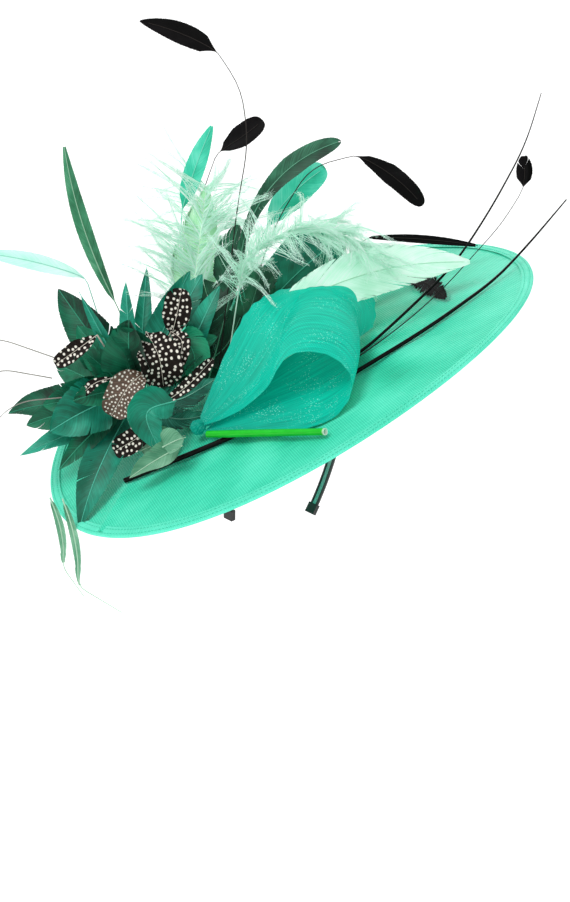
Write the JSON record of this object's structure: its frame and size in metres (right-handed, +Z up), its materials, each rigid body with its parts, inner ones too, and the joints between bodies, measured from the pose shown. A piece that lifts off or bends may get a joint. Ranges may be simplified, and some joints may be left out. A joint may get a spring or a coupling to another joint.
{
  "type": "feathered saucer fascinator",
  "caption": "Wide tilted saucer-brim fascinator on a sprung headband, with a spray of dyed feathers, crinoline loops and long stripped quills.",
  "frame": {"origin": "inner face of the headband at its highest point, where it rests on top of the head", "axes": "+Z up as worn, the wearer faces -Y, +X is the wearer's left"},
  "size_m": [0.4365, 0.4982, 0.5897],
  "materials": {
    "sinamay": "stiffened woven straw, satin sheen",
    "hem_bias": "folded bias of the brim's own weave, two stitched rows",
    "edge_wire": "fine millinery wire",
    "spring_core": "flat spring strip",
    "satin_black": "black satin ribbon, soft sheen",
    "cap_black": "moulded soft end cap",
    "felt": "dense teal felt",
    "thread": "waxed sewing thread",
    "binding_tape": "dark green floral tape, wound",
    "petal_emerald": "dyed goose nagoire feather, soft satin",
    "petal_teal": "dyed goose feather, lighter teal",
    "guinea": "guinea fowl feather, dark with white spots",
    "coque_teal": "dyed coque feather, satin",
    "coque_dark": "dark green coque feather, satin",
    "coque_pale": "pale mint feather",
    "quill_black": "black goose quill and vane",
    "quill_green": "dyed hollow quill shaft, glossy keratin",
    "goose_mint": "dyed goose quill feather, pale mint",
    "ostrich_mint": "stripped ostrich plume, pale mint",
    "crinoline": "shiny open nylon braid, half sheer",
    "sage": "sage green feather, matt"
  },
  "bodies": {
    "root": {"band_core_top": "spring_core", "band_satin_top": "satin_black", "base_pad": "felt", "base_stitches": "thread", "brim_disc": "sinamay", "brim_edge_wire": "edge_wire", "brim_hem_binding": "hem_bias", "coque_dark_arched": "coque_dark", "coque_dark_fan": "coque_dark", "coque_low_right": "coque_teal", "coque_pale_left": "coque_pale", "coque_rounded": "coque_teal", "coque_tall_left": "coque_teal", "coque_upright": "coque_teal", "crinoline_knot": "crinoline", "crinoline_loop_back": "crinoline", "crinoline_loop_front": "crinoline", "goose_feather": "goose_mint", "green_quill": "quill_green", "guinea_front": "guinea", "guinea_high": "guinea", "guinea_large": "guinea", "guinea_small": "guinea", "hackle_wisps": "sage", "hanging_hackles": "sage", "long_quill_high": "quill_black", "long_quill_low": "quill_black", "ostrich_plume_arched": "ostrich_mint", "ostrich_plume_upright": "ostrich_mint", "petal_barbed_right": "petal_teal", "petal_broad_low": "petal_teal", "petal_cupped": "petal_emerald", "petal_curled_front": "petal_teal", "petal_dark_low": "petal_emerald", "petal_dark_right": "petal_emerald", "petal_drooping": "petal_emerald", "petal_high_left": "petal_emerald", "petal_long_left": "petal_emerald", "petal_low_left": "petal_emerald", "petal_pale_left": "petal_emerald", "petal_pointed_left": "petal_emerald", "petals_back": "petal_emerald", "petals_high_right": "petal_teal", "petals_inner": "petal_emerald", "petals_narrow": "petal_teal", "quill_back": "quill_black", "quill_bobbed": "quill_black", "quill_ragged": "quill_black", "sage_leaves": "sage", "spray_binding": "binding_tape", "spray_felt_patch": "felt"},
    "band_arm_right": {"band_core_right": "spring_core", "band_satin_right": "satin_black", "band_tip_right": "cap_black"},
    "band_arm_left": {"band_core_left": "spring_core", "band_satin_left": "satin_black", "band_tip_left": "cap_black"},
    "tall_quill": {"quill_tall": "quill_black"},
    "short_quill": {"quill_short": "quill_black"},
    "arched_quill": {"quill_arched": "quill_black"}
  },
  "joints": [
    {"name": "band_flex_right", "type": "hinge", "parent": "root", "child": "band_arm_right", "pos_m": [-0.0755, 0.0223, -0.06862], "axis": [0, 0.9511, 0.309], "range_deg": [0, 8], "stiffness_Nm_per_rad": 2},
    {"name": "band_flex_left", "type": "hinge", "parent": "root", "child": "band_arm_left", "pos_m": [0.0755, 0.0223, -0.06862], "axis": [0, -0.9511, -0.309], "range_deg": [0, 8], "stiffness_Nm_per_rad": 2},
    {"name": "tall_quill_sway", "type": "hinge", "parent": "root", "child": "tall_quill", "pos_m": [-0.0753, 0.05065, -0.02027], "axis": [-0.7426, -0.6693, 0.0248], "range_deg": [-4, 4], "stiffness_Nm_per_rad": 0.12},
    {"name": "short_quill_sway", "type": "hinge", "parent": "root", "child": "short_quill", "pos_m": [-0.04208, 0.13074, 0.0022], "axis": [-0.7426, -0.6693, 0.0248], "range_deg": [-4, 4], "stiffness_Nm_per_rad": 0.12},
    {"name": "arched_quill_sway", "type": "hinge", "parent": "root", "child": "arched_quill", "pos_m": [-0.03783, 0.06535, 0.00523], "axis": [-0.7426, -0.6693, 0.0248], "range_deg": [-4, 4], "stiffness_Nm_per_rad": 0.12}
  ]
}
